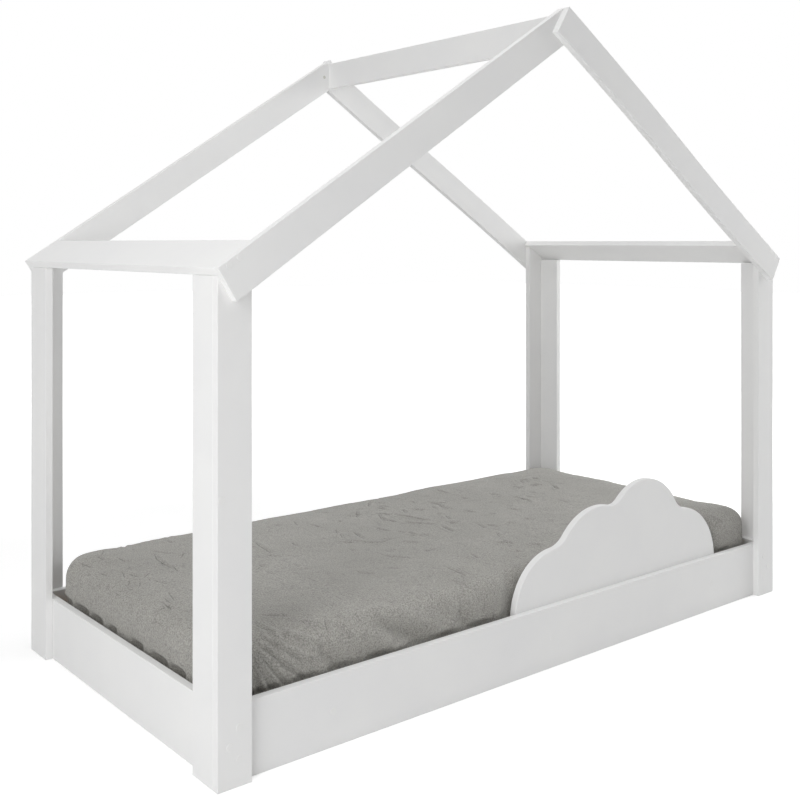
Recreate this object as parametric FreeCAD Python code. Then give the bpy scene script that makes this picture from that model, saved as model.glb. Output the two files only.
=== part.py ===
import FreeCAD
import Part
import math
import os

# A child's house frame bed in painted board.
# Frame: X runs along the bed, the front side is -Y, +Z is up. The origin is on the
# floor, in the middle of the bed. All sizes are in millimetres.

# ---------------------------------------------------------------- boards
BOARD = 15.0            # thickness of every painted board
STRIP = 63.0            # width of the post boards and of the rafters
EASE = 1.0              # rounding of the board edges
INSIDE_LENGTH = 1500.0  # between the end rails: the length of a standard mattress
INSIDE_WIDTH = 700.0    # between the long rails: the width of that mattress
POST_HEIGHT = 800.0     # floor to the outer top corner of a post
RAIL_HEIGHT = 122.0     # the rails stand on the floor

# ---------------------------------------------------------------- roof
ROOF_SLOPE = 32.6       # degrees
EAVE_WIDTH = 80.0       # width of the eave boards, measured up the slope
RIDGE_HEIGHT = 63.0     # height of the ridge board
RIDGE_DROP = 12.0       # top of the ridge board below the peak
FOOT_FLAT = 115.0       # the lapped rafters lie flat this far up from the tip
LAP_LEAD = 18.0         # and lie flat again this far before the board under them

# ---------------------------------------------------------------- cloud guard
GUARD_BOARD = 15.0      # thickness of the guard
GUARD_EASE = 2.0        # rounding of its edges
VALLEY_1_RADIUS = 60.0  # rounding of the notches between the lobes
VALLEY_2_RADIUS = 38.0
VALLEY_3_RADIUS = 50.0
# Each lobe of the cloud: place along X, centre above the rail's top, radius.
LOBE_1_X = 30.0
LOBE_1_UP = -12.6
LOBE_1_RADIUS = 120.7
LOBE_2_X = 166.6
LOBE_2_UP = 32.4
LOBE_2_RADIUS = 141.1
LOBE_3_X = 319.5
LOBE_3_UP = 81.7
LOBE_3_RADIUS = 127.7
LOBE_4_X = 446.0
LOBE_4_UP = -7.1
LOBE_4_RADIUS = 132.7
GUARD_SCREWS = 4        # screws from the guard into the front rail
GUARD_SCREW_EDGE = 60.0  # first and last of them in from the guard's sides

# ---------------------------------------------------------------- base
LEDGER_TOP = 80.0       # height of the ledgers' upper faces
LEDGER_HEIGHT = 40.0
LEDGER_WIDTH = 30.0
LEDGER_END_GAP = 2.0    # from a ledger's end to the end rail
SLAT_COUNT = 12
SLAT_WIDTH = 63.0
SLAT_BOARD = 12.0
SLAT_EASE = 1.5
SLAT_END = 8.0          # from the first slat to the end rail
SLAT_GUARD_GAP = 1.0    # from the slats' ends to the back of the guard

# ---------------------------------------------------------------- mattress
MATTRESS_HEIGHT = 105.0  # a 100 mm mattress, a little crowned in its cover
MATTRESS_GAP = 1.0      # to the rails
GUARD_GAP = 0.5         # to the guard, which presses into the mattress's front
REST_GAP = 0.3          # to the slats
CORNER_RADIUS = 75.0    # its corners, seen from above
TOP_RADIUS = 30.0       # its upper edges
BOTTOM_RADIUS = 12.0    # its lower edges
COVER_THICK = 1.5
COVER_FIT = 0.3         # from the foam to the cover
HEM = 80.0              # how far the cover comes back under the foam

# ---------------------------------------------------------------- fasteners
SCREW_RADIUS = 2.0
HEAD_RADIUS = 4.0
HEAD_DEPTH = 2.4
TIP_LENGTH = 4.0
SCREW_FIT = 0.15        # room round a screw or dowel in its hole
CAP_RADIUS = 6.5
CAP_THICK = 0.6
CAP_EDGE = 0.25
DOWEL_RADIUS = 4.0
DOWEL_LENGTH = 20.0
DOWEL_CHAMFER = 0.8
DOWEL_PLACES = (14.0, 42.0)     # up the slope from the tip
RAIL_SCREW_IN = 40.0            # screws into the long rail, in from the post's edge
RAIL_SCREW_HEIGHTS = (43.0, 93.0)
END_SCREW_HEIGHT = 66.0         # screw into the end rail's end
SIDE_SCREW_HEIGHT = 452.0       # screw into the edge of the post's side board
RAIL_SCREW_LENGTH = 27.0
END_SCREW_LENGTH = 60.0
SIDE_SCREW_LENGTH = 45.0
LEDGER_SCREW_SPREAD = 546.5     # outer ledger screws from the middle of the rail
LEDGER_SCREW_HEIGHT = 60.0
LEDGER_SCREW_LENGTH = 35.0
EAVE_SCREW_PLACES = (20.0, 43.0)    # up the slope from the tip
EAVE_SCREW_LENGTH = 50.0
RIDGE_SCREW_GAP = 26.0          # between the two screws in each end of the ridge
RIDGE_SCREW_LENGTH = 50.0
LAP_SCREW_OUT = 20.0            # lap screws on each side of the ridge
LAP_SCREW_LENGTH = 25.0
SLAT_SCREW_LENGTH = 30.0
GUARD_SCREW_LENGTH = 25.0

# ---------------------------------------------------------------- worked out
IN_X = INSIDE_LENGTH / 2            # inner face of the end rails
IN_Y = INSIDE_WIDTH / 2             # inner face of the long rails
RAIL_X = IN_X + BOARD               # outer face of the end rails
RAIL_Y = IN_Y + BOARD               # outer face of the long rails
POST_X = RAIL_X + BOARD             # outer face of the posts' side boards
POST_Y = RAIL_Y + BOARD             # outer face of the posts' face boards
LAYER_1 = POST_Y                    # the rafters' first layer starts here
LAYER_2 = POST_Y + BOARD            # and the lapped layer here
SLOPE = math.radians(ROOF_SLOPE)
SIN = math.sin(SLOPE)
COS = math.cos(SLOPE)
TIP_X = POST_X + BOARD * SIN        # upper outer corner of the eave boards
TIP_Z = POST_HEIGHT + BOARD * COS
PEAK_Z = TIP_Z + TIP_X * SIN / COS
RAFTER_LENGTH = TIP_X / COS
LAP_START = RAFTER_LENGTH - STRIP * SIN * 2 * COS
GUARD_BACK = -IN_Y + GUARD_BOARD
BEARING_Y = IN_Y - LEDGER_WIDTH     # inner face of the ledgers
SLAT_HALF = IN_Y - GUARD_BOARD - SLAT_GUARD_GAP
SLAT_TOP = LEDGER_TOP + SLAT_BOARD
SLAT_SCREW_Y = (SLAT_HALF + BEARING_Y) / 2

ALONG_Z = FreeCAD.Vector(0, 0, 1)


def vector(x, y, z):
    return FreeCAD.Vector(x, y, z)


# ---------------------------------------------------------------- helpers
def box(low, high):
    size = [b - a for a, b in zip(low, high)]
    return Part.makeBox(size[0], size[1], size[2], vector(*low))


def face_turn(shape, edge):
    """Angle in degrees between the two faces that meet at an edge."""
    faces = shape.ancestorsOfType(edge, Part.Face)
    if len(faces) < 2:
        return 0.0
    middle = edge.valueAt((edge.FirstParameter + edge.LastParameter) / 2)
    normals = [face.normalAt(*face.Surface.parameter(middle)) for face in faces[:2]]
    return math.degrees(normals[0].getAngle(normals[1]))


def eased(shape, radius=EASE):
    """The shape with each of its sharp edges rounded."""
    sharp = [edge for edge in shape.Edges if face_turn(shape, edge) > 10]
    return shape.makeFillet(radius, sharp)


def between(a, b):
    return min(a, b), max(a, b)


def board(xs, ys, zs):
    """A straight board between two limits on each axis, its edges eased."""
    low, high = zip(between(*xs), between(*ys), between(*zs))
    return eased(box(low, high))


def turned(profile, start, axis):
    """A solid turned from (radius, depth) points, from start along axis."""
    points = [vector(radius, 0, depth) for radius, depth in profile]
    face = Part.Face(Part.makePolygon(points + points[:1]))
    solid = face.revolve(vector(0, 0, 0), ALONG_Z, 360)
    solid.Placement = FreeCAD.Placement(start, FreeCAD.Rotation(ALONG_Z, axis))
    return solid


def screw(start, axis, length, room=0.0):
    """A countersunk screw with its head's face at start, or with room its hole."""
    profile = [
        (0, 0),
        (HEAD_RADIUS + room, 0),
        (SCREW_RADIUS + room, HEAD_DEPTH + room),
        (SCREW_RADIUS + room, length - TIP_LENGTH + room),
        (0, length + room),
    ]
    return turned(profile, start, axis)


def dowel(start, axis, room=0.0):
    radius = DOWEL_RADIUS + room
    profile = [
        (0, -room),
        (radius - DOWEL_CHAMFER, -room),
        (radius, DOWEL_CHAMFER - room),
        (radius, DOWEL_LENGTH - DOWEL_CHAMFER + room),
        (radius - DOWEL_CHAMFER, DOWEL_LENGTH + room),
        (0, DOWEL_LENGTH + room),
    ]
    return turned(profile, start, axis)


def cap(start, axis):
    """A thin stick-on disc over a screw, its rim chamfered."""
    profile = [
        (0, 0),
        (CAP_RADIUS, 0),
        (CAP_RADIUS, CAP_THICK - CAP_EDGE),
        (CAP_RADIUS - CAP_EDGE, CAP_THICK),
        (0, CAP_THICK),
    ]
    return turned(profile, start, axis)


def drilled(shape, tools):
    """The shape with a list of hole solids cut out of it."""
    return shape.cut(Part.makeCompound(tools)) if tools else shape


def screws(places):
    return [screw(*place) for place in places]


def holes(places):
    return [screw(*place, room=SCREW_FIT) for place in places]


def caps(places):
    """A cap on the head of each screw, facing away from the screw."""
    return [cap(start, axis * -1) for start, axis, length in places]


def roof_point(side, up, depth):
    """(x, z) at a distance up the slope from the tip and below the upper plane."""
    x = TIP_X - up * COS - depth * SIN
    z = TIP_Z + up * SIN - depth * COS
    return side * x, z


def roof_vector(side, up, depth, y):
    x, z = roof_point(side, up, depth)
    return vector(x, y, z)


def roof_board(side, up, ys):
    """A board lying in the slope, of the board's thickness, between two heights."""
    corners = [(up[0], 0), (up[1], 0), (up[1], BOARD), (up[0], BOARD)]
    return slope_prism(side, corners, ys)


def slope_prism(side, corners, ys):
    low, high = between(*ys)
    points = [roof_vector(side, a, b, low) for a, b in corners]
    face = Part.Face(Part.makePolygon(points + points[:1]))
    return eased(face.extrude(vector(0, high - low, 0)))


# ---------------------------------------------------------------- fixings
# Each fixing is (start of the head, direction, length). side_x is -1 on the left
# and +1 on the right, side_y is -1 at the front and +1 at the rear.
def into(side_y):
    """Direction from outside towards the middle of the bed."""
    return vector(0, -side_y, 0)


def rail_screw_places(side_x, side_y):
    x = side_x * (POST_X - RAIL_SCREW_IN)
    y = side_y * POST_Y
    return [(vector(x, y, z), into(side_y), RAIL_SCREW_LENGTH)
            for z in RAIL_SCREW_HEIGHTS]


def end_screw_places(side_x, side_y):
    start = vector(side_x * (IN_X + BOARD / 2), side_y * POST_Y, END_SCREW_HEIGHT)
    return [(start, into(side_y), END_SCREW_LENGTH)]


def side_screw_places(side_x, side_y):
    start = vector(side_x * (RAIL_X + BOARD / 2), side_y * POST_Y, SIDE_SCREW_HEIGHT)
    return [(start, into(side_y), SIDE_SCREW_LENGTH)]


def post_screw_places(side_x, side_y):
    return (rail_screw_places(side_x, side_y)
            + end_screw_places(side_x, side_y)
            + side_screw_places(side_x, side_y))


def ledger_screw_places(side_y):
    y = side_y * RAIL_Y
    return [(vector(x, y, LEDGER_SCREW_HEIGHT), into(side_y), LEDGER_SCREW_LENGTH)
            for x in (-LEDGER_SCREW_SPREAD, 0, LEDGER_SCREW_SPREAD)]


def eave_screw_places(side_x, side_y):
    return [(roof_vector(side_x, up, BOARD / 2, side_y * LAYER_2), into(side_y),
             EAVE_SCREW_LENGTH) for up in EAVE_SCREW_PLACES]


def ridge_screw_places(side_y):
    middle = PEAK_Z - RIDGE_DROP - RIDGE_HEIGHT / 2
    return [(vector(0, side_y * LAYER_2, middle + shift), into(side_y),
             RIDGE_SCREW_LENGTH) for shift in (-RIDGE_SCREW_GAP / 2, RIDGE_SCREW_GAP / 2)]


def lap_screw_places(side_y):
    """Outwards through the inner rafter into the lapped one, beside the ridge."""
    top = PEAK_Z - LAP_SCREW_OUT * COS / SIN
    bottom = PEAK_Z - STRIP / COS + LAP_SCREW_OUT * SIN / COS
    z = (top + bottom) / 2
    return [(vector(side * LAP_SCREW_OUT, side_y * LAYER_1, z), vector(0, side_y, 0),
             LAP_SCREW_LENGTH) for side in (-1, 1)]


def dowel_places(side_x, side_y):
    depth = (BOARD + STRIP) / 2
    y = side_y * (LAYER_1 - DOWEL_LENGTH / 2)
    return [(roof_vector(side_x, up, depth, y), vector(0, side_y, 0))
            for up in DOWEL_PLACES]


def slat_centres():
    first = -IN_X + SLAT_END + SLAT_WIDTH / 2
    step = -2 * first / (SLAT_COUNT - 1)
    return [first + step * number for number in range(SLAT_COUNT)]


def slat_screw_places(x, side_y):
    start = vector(x, side_y * SLAT_SCREW_Y, SLAT_TOP)
    return [(start, vector(0, 0, -1), SLAT_SCREW_LENGTH)]


def guard_screw_places():
    left, right = guard_sides()
    first = left + GUARD_SCREW_EDGE
    last = right - GUARD_SCREW_EDGE
    step = (last - first) / (GUARD_SCREWS - 1)
    z = (LEDGER_TOP + RAIL_HEIGHT) / 2
    return [(vector(first + step * number, GUARD_BACK, z), vector(0, -1, 0),
             GUARD_SCREW_LENGTH) for number in range(GUARD_SCREWS)]


# ---------------------------------------------------------------- posts
def post_face(side_x, side_y):
    """Front or rear board of a post, its top cut to the eave board's underside."""
    outer = side_x * POST_X
    inner = side_x * (POST_X - STRIP)
    top = POST_HEIGHT + STRIP * SIN / COS
    low, high = between(side_y * RAIL_Y, side_y * POST_Y)
    corners = [(outer, 0), (outer, POST_HEIGHT), (inner, top), (inner, 0)]
    points = [vector(x, low, z) for x, z in corners]
    face = Part.Face(Part.makePolygon(points + points[:1]))
    solid = eased(face.extrude(vector(0, high - low, 0)))
    dowels = [dowel(*place, room=SCREW_FIT) for place in dowel_places(side_x, side_y)]
    return drilled(solid, holes(post_screw_places(side_x, side_y)) + dowels)


def post_side(side_x, side_y):
    """End board of a post, butted behind the face board, its top cut square."""
    solid = board((side_x * RAIL_X, side_x * POST_X),
                  (side_y * RAIL_Y, side_y * (RAIL_Y - STRIP)), (0, POST_HEIGHT))
    return drilled(solid, holes(side_screw_places(side_x, side_y)))


# ---------------------------------------------------------------- rails
def long_rail(side_y):
    solid = board((-RAIL_X, RAIL_X), (side_y * IN_Y, side_y * RAIL_Y), (0, RAIL_HEIGHT))
    places = ledger_screw_places(side_y)
    for side_x in (-1, 1):
        places += rail_screw_places(side_x, side_y) + end_screw_places(side_x, side_y)
    if side_y < 0:
        places += guard_screw_places()
    return drilled(solid, holes(places))


def end_rail(side_x):
    solid = board((side_x * IN_X, side_x * RAIL_X), (-IN_Y, IN_Y), (0, RAIL_HEIGHT))
    places = end_screw_places(side_x, -1) + end_screw_places(side_x, 1)
    return drilled(solid, holes(places))


# ---------------------------------------------------------------- roof
def rafter_holes(side_x, side_y):
    places = eave_screw_places(side_x, side_y) + lap_screw_places(side_y)
    if side_x < 0:
        places += ridge_screw_places(side_y)
    dowels = [dowel(*place, room=SCREW_FIT) for place in dowel_places(side_x, side_y)]
    return holes(places) + dowels


def left_rafter(side_y):
    """A straight rafter, flat on the posts and on the ridge board's end."""
    corners = [(0, 0), (RAFTER_LENGTH, 0), (RAFTER_LENGTH, STRIP), (0, STRIP)]
    solid = slope_prism(-1, corners, (side_y * LAYER_1, side_y * LAYER_2))
    return drilled(solid, rafter_holes(-1, side_y))


def sprung_face(offset):
    """One face of the sprung rafter, as (distance up the slope, distance out) points.

    It lies flat, bends out and back in two equal arcs, and lies flat again one
    board's thickness further out. The offset is from the middle of the board.
    """
    start = FOOT_FLAT
    end = LAP_START - LAP_LEAD
    run = end - start
    radius = (run ** 2 + BOARD ** 2) / (4 * BOARD)
    turn = math.asin(run / 2 / radius)

    def first_arc(angle):
        reach = radius - offset
        return start + reach * math.sin(angle), radius - reach * math.cos(angle)

    def second_arc(angle):
        reach = radius + offset
        return end - reach * math.sin(angle), BOARD - radius + reach * math.cos(angle)

    return [(0, offset), first_arc(0), first_arc(turn / 2), first_arc(turn),
            second_arc(turn / 2), second_arc(0), (RAFTER_LENGTH, BOARD + offset)]


def right_rafter(side_y):
    """The rafter that is flush on the posts and lapped over its neighbour at the top."""
    def place(point):
        up, out = point
        return roof_vector(1, up, 0, side_y * (LAYER_1 + BOARD / 2 + out))

    edges = []
    for offset in (-BOARD / 2, BOARD / 2):
        points = [place(point) for point in sprung_face(offset)]
        edges.append(Part.LineSegment(points[0], points[1]).toShape())
        edges.append(Part.Arc(points[1], points[2], points[3]).toShape())
        edges.append(Part.Arc(points[3], points[4], points[5]).toShape())
        edges.append(Part.LineSegment(points[5], points[6]).toShape())
    for number in (0, -1):
        ends = [place(sprung_face(offset)[number]) for offset in (-BOARD / 2, BOARD / 2)]
        edges.append(Part.LineSegment(*ends).toShape())
    face = Part.Face(Part.Wire(Part.__sortEdges__(edges)))
    across = roof_vector(1, 0, STRIP, 0) - roof_vector(1, 0, 0, 0)
    solid = eased(face.extrude(across))
    return drilled(solid, rafter_holes(1, side_y))


def eave_board(side_x):
    solid = roof_board(side_x, (0, EAVE_WIDTH), (-POST_Y, POST_Y))
    places = eave_screw_places(side_x, -1) + eave_screw_places(side_x, 1)
    return drilled(solid, holes(places))


def ridge_board():
    top = PEAK_Z - RIDGE_DROP
    solid = board((-BOARD / 2, BOARD / 2), (-POST_Y, POST_Y), (top - RIDGE_HEIGHT, top))
    return drilled(solid, holes(ridge_screw_places(-1) + ridge_screw_places(1)))


# ---------------------------------------------------------------- cloud guard
def guard_sides():
    """Left and right side of the guard, along X."""
    return LOBE_1_X - LOBE_1_RADIUS, LOBE_4_X + LOBE_4_RADIUS


def lobes():
    """(x, z, radius) of each lobe of the cloud."""
    return [(LOBE_1_X, RAIL_HEIGHT + LOBE_1_UP, LOBE_1_RADIUS),
            (LOBE_2_X, RAIL_HEIGHT + LOBE_2_UP, LOBE_2_RADIUS),
            (LOBE_3_X, RAIL_HEIGHT + LOBE_3_UP, LOBE_3_RADIUS),
            (LOBE_4_X, RAIL_HEIGHT + LOBE_4_UP, LOBE_4_RADIUS)]


def valley_centre(first, second, radius):
    """Centre of the round notch that touches two neighbouring lobes from above."""
    gap_x = second[0] - first[0]
    gap_z = second[1] - first[1]
    gap = math.hypot(gap_x, gap_z)
    reach_1 = first[2] + radius
    reach_2 = second[2] + radius
    along = (gap ** 2 + reach_1 ** 2 - reach_2 ** 2) / (2 * gap)
    off = math.sqrt(reach_1 ** 2 - along ** 2)
    return (first[0] + (along * gap_x - off * gap_z) / gap,
            first[1] + (along * gap_z + off * gap_x) / gap)


def towards(centre, target, radius):
    """The point at a radius from centre, in the direction of target."""
    angle = math.atan2(target[1] - centre[1], target[0] - centre[0])
    return centre[0] + radius * math.cos(angle), centre[1] + radius * math.sin(angle)


def arc(start, end, centre, side):
    """An arc from start to end about centre, on the given side (+1 up, -1 down)."""
    radius = math.hypot(start[0] - centre[0], start[1] - centre[1])
    middle = ((start[0] + end[0]) / 2, (start[1] + end[1]) / 2)
    chord = (end[0] - start[0], end[1] - start[1])
    length = math.hypot(*chord)
    # Unit vector square to the chord, turned up for an arc drawn left to right.
    square = (-chord[1] / length, chord[0] / length)
    lean = (middle[0] - centre[0]) * square[0] + (middle[1] - centre[1]) * square[1]
    crown = side * radius - lean
    top = (middle[0] + square[0] * crown, middle[1] + square[1] * crown)
    points = [vector(x, -IN_Y, z) for x, z in (start, top, end)]
    return Part.Arc(*points).toShape()


def cloud_guard():
    """The guard: four round lobes over straight sides, standing on the ledger."""
    discs = lobes()
    radii = (VALLEY_1_RADIUS, VALLEY_2_RADIUS, VALLEY_3_RADIUS)
    valleys = [valley_centre(*places) for places in zip(discs, discs[1:], radii)]
    left = (guard_sides()[0], discs[0][1])
    right = (guard_sides()[1], discs[-1][1])
    edges = []
    here = left
    for number, disc in enumerate(discs):
        if number < len(valleys):
            there = towards(disc, valleys[number], disc[2])
        else:
            there = right
        edges.append(arc(here, there, disc, 1))
        if number < len(valleys):
            after = towards(discs[number + 1], valleys[number], discs[number + 1][2])
            edges.append(arc(there, after, valleys[number], -1))
            here = after
    foot = [right, (right[0], LEDGER_TOP), (left[0], LEDGER_TOP), left]
    for a, b in zip(foot, foot[1:]):
        edges.append(Part.LineSegment(vector(a[0], -IN_Y, a[1]),
                                      vector(b[0], -IN_Y, b[1])).toShape())
    face = Part.Face(Part.Wire(Part.__sortEdges__(edges)))
    solid = eased(face.extrude(vector(0, GUARD_BOARD, 0)), GUARD_EASE)
    return drilled(solid, holes(guard_screw_places()))


# ---------------------------------------------------------------- base
def ledger(side_y):
    end = IN_X - LEDGER_END_GAP
    solid = board((-end, end), (side_y * BEARING_Y, side_y * IN_Y),
                  (LEDGER_TOP - LEDGER_HEIGHT, LEDGER_TOP))
    places = ledger_screw_places(side_y)
    for x in slat_centres():
        places += slat_screw_places(x, side_y)
    return drilled(solid, holes(places))


def slat(x):
    solid = eased(box((x - SLAT_WIDTH / 2, -SLAT_HALF, LEDGER_TOP),
                      (x + SLAT_WIDTH / 2, SLAT_HALF, SLAT_TOP)), SLAT_EASE)
    return drilled(solid, holes(slat_screw_places(x, -1) + slat_screw_places(x, 1)))


# ---------------------------------------------------------------- mattress
def padded_block(inset):
    """The mattress's outer form, drawn in on every side by an inset.

    Its front is pressed in where the guard stands.
    """
    low = (-IN_X + MATTRESS_GAP + inset, -IN_Y + MATTRESS_GAP + inset,
           SLAT_TOP + REST_GAP + inset)
    high = (IN_X - MATTRESS_GAP - inset, IN_Y - MATTRESS_GAP - inset,
            SLAT_TOP + REST_GAP + MATTRESS_HEIGHT - inset)
    block = box(low, high)
    upright = [edge for edge in block.Edges
               if edge.BoundBox.ZLength > edge.BoundBox.DiagonalLength / 2]
    block = block.makeFillet(CORNER_RADIUS - inset, upright)
    top = [edge for edge in block.Edges if edge.BoundBox.ZMin > high[2] - 1]
    block = block.makeFillet(TOP_RADIUS - inset, top)
    bottom = [edge for edge in block.Edges if edge.BoundBox.ZMax < low[2] + 1]
    block = block.makeFillet(BOTTOM_RADIUS - inset, bottom)
    left, right = guard_sides()
    room = GUARD_GAP + inset
    dent = box((left - room, -IN_Y - 1, low[2] - 1),
               (right + room, GUARD_BACK + room, high[2] + 1))
    return block.cut(dent)


def mattress_core():
    return padded_block(COVER_THICK + COVER_FIT)


def mattress_cover():
    """A thin fitted cover, open underneath inside its hem."""
    outer = padded_block(0)
    shell = outer.cut(padded_block(COVER_THICK))
    bound = outer.BoundBox
    mouth = box((bound.XMin + HEM, bound.YMin + HEM, bound.ZMin - 1),
                (bound.XMax - HEM, bound.YMax - HEM, bound.ZMin + COVER_THICK + 1))
    return shell.cut(mouth)


# ---------------------------------------------------------------- the parts
def all_parts():
    parts = {}
    post_places = []
    rail_places = []
    eave_places = []
    dowels = []
    for y_name, side_y in (("front", -1), ("rear", 1)):
        for x_name, side_x in (("left", -1), ("right", 1)):
            name = "post_" + y_name + "_" + x_name
            parts[name + "_face"] = post_face(side_x, side_y)
            parts[name + "_side"] = post_side(side_x, side_y)
            post_places += post_screw_places(side_x, side_y)
            eave_places += eave_screw_places(side_x, side_y)
            dowels += [dowel(*place) for place in dowel_places(side_x, side_y)]
        parts["rail_" + y_name] = long_rail(side_y)
        parts["rafter_" + y_name + "_left"] = left_rafter(side_y)
        parts["rafter_" + y_name + "_right"] = right_rafter(side_y)
        parts["ledger_" + y_name] = ledger(side_y)
        rail_places += ledger_screw_places(side_y)
    for x_name, side_x in (("left", -1), ("right", 1)):
        parts["rail_" + x_name + "_end"] = end_rail(side_x)
        parts["eave_board_" + x_name] = eave_board(side_x)
    parts["ridge_board"] = ridge_board()
    parts["cloud_guard"] = cloud_guard()
    slat_places = []
    for number, x in enumerate(slat_centres(), start=1):
        parts["slat_%02d" % number] = slat(x)
        slat_places += slat_screw_places(x, -1) + slat_screw_places(x, 1)
    parts["mattress_core"] = mattress_core()
    parts["mattress_cover"] = mattress_cover()
    groups = {
        "post_screws": screws(post_places),
        "ledger_screws": screws(rail_places),
        "eave_screws": screws(eave_places),
        "ridge_screws": screws(ridge_screw_places(-1) + ridge_screw_places(1)),
        "lap_screws": screws(lap_screw_places(-1) + lap_screw_places(1)),
        "slat_screws": screws(slat_places),
        "guard_screws": screws(guard_screw_places()),
        "rafter_dowels": dowels,
        "post_caps": caps(post_places),
        "rail_caps": caps(rail_places),
        "rafter_caps": caps(eave_places),
    }
    for name, solids in groups.items():
        parts[name] = Part.makeCompound(solids)
    return parts


def main():
    os.makedirs("parts", exist_ok=True)
    parts = all_parts()
    for name, shape in parts.items():
        shape.exportStep("parts/" + name + ".step")
    whole = Part.makeCompound(list(parts.values())).BoundBox
    print("nodes", len(parts), "box", [round(value, 1) for value in (
        whole.XMin, whole.XMax, whole.YMin, whole.YMax, whole.ZMin, whole.ZMax)])


main()
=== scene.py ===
# %% [markdown]
# # A child's house frame bed, dressed for a studio picture
#
# The bed is a low frame of white painted boards, with the outline of a house above it. A cloud-shaped
# guard stands at the front, and a thin mattress in a grey cover lies inside, on pine slats.
# The rigid parts come ready made from the construction model, so this lesson gives them their finishes
# and makes only what a saw can't: the cover with its creases, and the foam inside it.

import math

import bpy
import numpy as np
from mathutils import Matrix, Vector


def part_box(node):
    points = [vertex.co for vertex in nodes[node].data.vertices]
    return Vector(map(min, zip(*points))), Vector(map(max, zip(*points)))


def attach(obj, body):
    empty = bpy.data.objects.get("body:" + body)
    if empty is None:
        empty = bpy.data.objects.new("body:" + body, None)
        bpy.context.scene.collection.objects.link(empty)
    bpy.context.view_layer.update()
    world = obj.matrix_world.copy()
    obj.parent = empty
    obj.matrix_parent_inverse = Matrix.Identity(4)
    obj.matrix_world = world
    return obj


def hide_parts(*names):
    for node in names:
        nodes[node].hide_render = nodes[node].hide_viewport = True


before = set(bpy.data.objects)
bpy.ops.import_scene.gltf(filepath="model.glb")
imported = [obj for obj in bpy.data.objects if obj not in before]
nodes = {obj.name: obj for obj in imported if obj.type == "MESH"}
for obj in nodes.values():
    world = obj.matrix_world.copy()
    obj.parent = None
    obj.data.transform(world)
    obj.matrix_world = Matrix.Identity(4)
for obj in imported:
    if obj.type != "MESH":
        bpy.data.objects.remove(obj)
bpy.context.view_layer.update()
scene = bpy.context.scene
print("rigid and soft parts loaded:", len(nodes))

# %% [markdown]
# ## The camera
#
# The bed was seen from in front of its left post, a little above the mattress. A camera could be turned
# until the picture looks right, but every upright board stays exactly upright there, so the camera is
# level and the picture is shifted downwards instead, as a view camera does it.

# %% The camera
camera_data = bpy.data.cameras.new("level_camera")
camera_data.sensor_width = 36.0
camera_data.lens = 48.49
camera_data.shift_x = 0.0404
camera_data.shift_y = -0.1966
camera = bpy.data.objects.new("level_camera", camera_data)
camera.location = (-1.6321, -1.8245, 0.8511)
camera.rotation_euler = (math.radians(90), 0, math.radians(-38.474))
scene.collection.objects.link(camera)
scene.camera = camera
print("camera height above the floor:", round(camera.location.z, 3))

# %% [markdown]
# ## Two helpers for finishes
#
# A colour is written as a designer writes it, in hex, but the renderer adds light up, so it needs
# linear numbers. A finish is a small graph of nodes, and one helper adds any node to it, with its
# settings and whatever feeds its sockets.


# %% Colours and nodes
def linear(hex_colour):
    """A screen colour as linear light: below 0.04045 a twelfth of it, and above that its curve of 2.4."""
    screen = np.array([int(hex_colour[i : i + 2], 16) for i in (1, 3, 5)]) / 255
    light = np.where(screen <= 0.04045, screen / 12.92, ((screen + 0.055) / 1.055) ** 2.4)
    return (*light.tolist(), 1.0)


def add(material, kind, settings=None, order=(), **sockets):
    """Adds a node, sets it and feeds its sockets, each with a value or with another node's socket.

    A socket is given by its place in the order, or by its name with _ for a space.
    """
    node = material.node_tree.nodes.new(kind)
    for name, value in (settings or {}).items():
        setattr(node, name, value)
    feeds = list(zip(node.inputs, order))
    for name, value in sockets.items():
        wanted = name.replace("_", " ").lower()
        feeds.append(([s for s in node.inputs if s.name.lower() == wanted and s.enabled][0], value))
    for socket, value in feeds:
        if isinstance(value, bpy.types.NodeSocket):
            material.node_tree.links.new(value, socket)
        else:
            socket.default_value = value
    return node


def start_finish(name):
    """A new material with its main shader, and the place on the object, in metres, as a socket."""
    material = bpy.data.materials.new(name)
    material.use_nodes = True
    shader = material.node_tree.nodes["Principled BSDF"]
    place = add(material, "ShaderNodeTexCoord").outputs["Object"]
    return material, shader, place


print("linear value of a mid grey:", round(linear("#808080")[0], 3))

# %% [markdown]
# ## White painted board
#
# The boards are fibreboard, rolled or sprayed with a water-based satin paint. The paint leaves a skin
# with a faint pebble of 2 to 3 mm, and it dries a little shinier in some places than in others.
# An image of paint would stretch on the long rails, so the pebble is a noise in real millimetres.

# %% White satin paint on fibreboard
PEBBLES = 420.0  # to the metre, as every pattern's scale is here
white_board, shader, place = start_finish("satin_paint_on_fibreboard")
pebble = add(white_board, "ShaderNodeTexNoise", Vector=place, Scale=PEBBLES, Detail=2.0, Roughness=0.5)
clouding = add(white_board, "ShaderNodeTexNoise", Vector=place, Scale=5.0, Detail=3.0, Roughness=0.6)
tone = add(white_board, "ShaderNodeValToRGB", Fac=clouding.outputs["Fac"])
tone.color_ramp.elements[0].position = 0.30
tone.color_ramp.elements[0].color = linear("#E9E9E9")
tone.color_ramp.elements[1].position = 0.70
tone.color_ramp.elements[1].color = linear("#EDEDEC")
shine = add(
    white_board, "ShaderNodeMapRange", Value=clouding.outputs["Fac"],
    From_Min=0.3, From_Max=0.7, To_Min=0.46, To_Max=0.54,
)
skin = add(
    white_board, "ShaderNodeBump", Height=pebble.outputs["Fac"], Strength=0.10, Distance=0.0004,
)
white_board.node_tree.links.new(tone.outputs["Color"], shader.inputs["Base Color"])
white_board.node_tree.links.new(shine.outputs["Result"], shader.inputs["Roughness"])
white_board.node_tree.links.new(skin.outputs["Normal"], shader.inputs["Normal"])
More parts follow.
